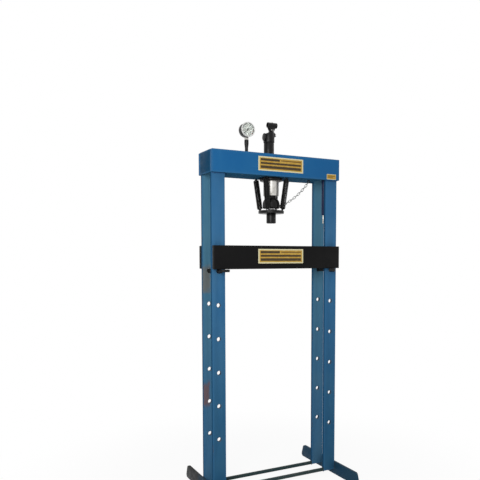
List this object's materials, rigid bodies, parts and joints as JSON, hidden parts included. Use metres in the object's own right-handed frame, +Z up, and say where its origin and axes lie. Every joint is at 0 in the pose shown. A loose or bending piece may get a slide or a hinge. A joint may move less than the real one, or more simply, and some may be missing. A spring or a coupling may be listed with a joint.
{
  "type": "four-column hydraulic floor press",
  "caption": "Floor-standing shop press with flat-bar columns, a boxed head, a sprung hydraulic ram with hand pump and gauge, and a pinned bed on spread feet.",
  "frame": {"origin": "on the floor, midway between the feet and midway between the front and rear columns", "axes": "+X to the press's right as seen from the front, -Y to the front, +Z up"},
  "size_m": [0.6864, 0.5126, 1.727],
  "materials": {
    "frame_paint": "semi-gloss blue paint with a few dull patches",
    "base_paint": "dark blue-black paint",
    "bed_paint": "satin black paint",
    "jack_black": "black painted casting",
    "spring_black": "oil-blackened spring steel",
    "bright_steel": "turned bright steel",
    "rod_chrome": "hard chrome",
    "chain_zinc": "dull zinc plate",
    "seal_rubber": "matt seal rubber",
    "gauge_black": "gloss black",
    "gauge_ring": "rolled steel ring",
    "dial_white": "white printed face",
    "gauge_glass": "clear flat lens",
    "pointer_black": "matt black",
    "lever_black": "black sleeve"
  },
  "bodies": {
    "frame": {"column_front_left": "frame_paint", "column_front_right": "frame_paint", "column_rear_left": "frame_paint", "column_rear_right": "frame_paint", "head_front_plate": "frame_paint", "head_rear_plate": "frame_paint", "head_floor_plate": "frame_paint", "head_lid_plate": "frame_paint", "head_cap_left": "frame_paint", "head_cap_right": "frame_paint", "foot_left": "base_paint", "foot_right": "base_paint", "tie_front": "base_paint", "tie_rear": "base_paint", "jack_flange": "jack_black", "jack_gland": "jack_black", "reservoir": "jack_black", "pump_block": "jack_black", "gauge_adapter": "jack_black", "lever_clips": "jack_black", "spring_eyes_head": "jack_black", "chain_eye_head": "jack_black", "chain_eye_gland": "jack_black", "spring_front_left": "spring_black", "spring_front_right": "spring_black", "spring_rear_left": "spring_black", "spring_rear_right": "spring_black", "jack_barrel": "bright_steel", "plunger_gland": "bright_steel", "filler_plug": "bright_steel", "pivot_pin": "bright_steel", "gauge_stem": "bright_steel", "pressure_pipe": "bright_steel", "lever_tip": "bright_steel", "chain": "chain_zinc", "rod_wiper": "seal_rubber", "gauge_case": "gauge_black", "gauge_bezel": "gauge_ring", "gauge_dial": "dial_white", "gauge_lens": "gauge_glass", "lever_grip": "lever_black"},
    "ram": {"piston_rod": "rod_chrome", "piston": "bright_steel", "piston_seal": "seal_rubber", "spring_plate": "jack_black", "ram_nose": "jack_black", "spring_eyes_plate": "jack_black"},
    "bed": {"bed_front_plate": "bed_paint", "bed_rear_plate": "bed_paint", "bed_spacer_left": "bed_paint", "bed_spacer_right": "bed_paint"},
    "pin_left": {"bed_pin_left": "bed_paint"},
    "pin_right": {"bed_pin_right": "bed_paint"},
    "socket": {"lever_socket": "jack_black", "socket_screw": "bright_steel"},
    "plunger": {"pump_plunger": "rod_chrome"},
    "valve": {"release_valve": "jack_black"},
    "pointer": {"gauge_pointer": "pointer_black"}
  },
  "joints": [
    {"name": "ram_slide", "type": "slide", "parent": "frame", "child": "ram", "axis": [0, 0, -1], "range_m": [0, 0.095], "stiffness_N_per_m": 6000, "springref_m": -0.02, "deforming": ["spring_front_left", "spring_front_right", "spring_rear_left", "spring_rear_right"]},
    {"name": "bed_lift", "type": "slide", "parent": "frame", "child": "bed", "axis": [0, 0, 1], "range_m": [0, 0.05]},
    {"name": "pin_left_pull", "type": "slide", "parent": "frame", "child": "pin_left", "axis": [0, -1, 0], "range_m": [0, 0.16]},
    {"name": "pin_right_pull", "type": "slide", "parent": "frame", "child": "pin_right", "axis": [0, -1, 0], "range_m": [0, 0.16]},
    {"name": "socket_rock", "type": "hinge", "parent": "frame", "child": "socket", "pos_m": [-0.003, 0, 1.688], "axis": [0, -1, 0], "range_deg": [0, 20]},
    {"name": "plunger_slide", "type": "slide", "parent": "frame", "child": "plunger", "axis": [0, 0, 1], "range_m": [0, 0.0034]},
    {"name": "valve_turn", "type": "hinge", "parent": "frame", "child": "valve", "pos_m": [-0.0363, 0, 1.6545], "axis": [-1, 0, 0], "range_deg": [0, 270]},
    {"name": "pointer_turn", "type": "hinge", "parent": "frame", "child": "pointer", "pos_m": [-0.129, -0.014, 1.677], "axis": [0, 1, 0], "range_deg": [0, 270], "stiffness_Nm_per_rad": 0.0005, "springref_deg": -11.46}
  ],
  "couplings": [
    {"joint": "socket_rock", "follows": "plunger_slide", "rad_per_m": 100}
  ]
}
